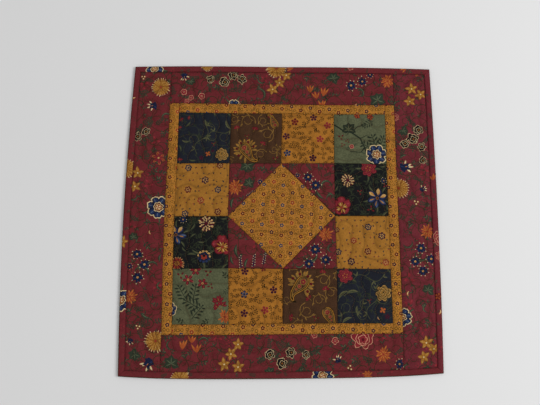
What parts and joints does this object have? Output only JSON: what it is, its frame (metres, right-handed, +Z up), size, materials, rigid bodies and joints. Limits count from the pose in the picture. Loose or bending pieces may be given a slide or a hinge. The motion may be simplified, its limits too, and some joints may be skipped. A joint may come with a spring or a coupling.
{
  "type": "quilted table topper",
  "caption": "Square patchwork table topper: print squares round a square-in-a-square centre, two borders, all-over meander quilting and a mitred binding.",
  "frame": {"origin": "under the middle of the topper, on the surface it lies on", "axes": "+Z up out of the quilted face, +Y towards the far edge of the picture, +X to its right edge"},
  "size_m": [0.5254, 0.528, 0.005],
  "materials": {
    "burgundy_print": "matt printed cotton, floral on burgundy",
    "binding_print": "matt printed cotton, floral on burgundy, folded",
    "gold_calico": "matt printed cotton, small flowers on gold",
    "gold_sprig_print": "matt printed cotton, flowers and sprigs on gold",
    "tan_flower_print": "matt printed cotton, small flowers on tan",
    "navy_print": "matt printed cotton, floral on navy",
    "brown_paisley": "matt printed cotton, paisley on brown",
    "green_print": "matt printed cotton, floral on grey green",
    "black_print": "matt printed cotton, floral on black",
    "back_cloth": "plain matt cotton"
  },
  "bodies": {
    "root": {"square_row1_1_navy": "navy_print", "square_row1_2_brown": "brown_paisley", "square_row1_3_gold": "gold_sprig_print", "square_row1_4_green": "green_print", "square_row2_1_tan": "tan_flower_print", "square_row2_4_black": "black_print", "square_row3_1_black": "black_print", "square_row3_4_tan": "tan_flower_print", "square_row4_1_green": "green_print", "square_row4_2_gold": "gold_sprig_print", "square_row4_3_brown": "brown_paisley", "square_row4_4_navy": "navy_print", "centre_diamond": "gold_calico", "centre_triangle_far_left": "burgundy_print", "centre_triangle_far_right": "burgundy_print", "centre_triangle_near_left": "burgundy_print", "centre_triangle_near_right": "burgundy_print", "inner_border_left": "gold_calico", "outer_border_left": "burgundy_print", "binding_left": "binding_print", "inner_border_right": "gold_calico", "outer_border_right": "burgundy_print", "binding_right": "binding_print", "inner_border_far": "gold_calico", "outer_border_far": "burgundy_print", "binding_far": "binding_print", "inner_border_near": "gold_calico", "outer_border_near": "burgundy_print", "binding_near": "binding_print", "quilt_back": "back_cloth"}
  },
  "joints": []
}
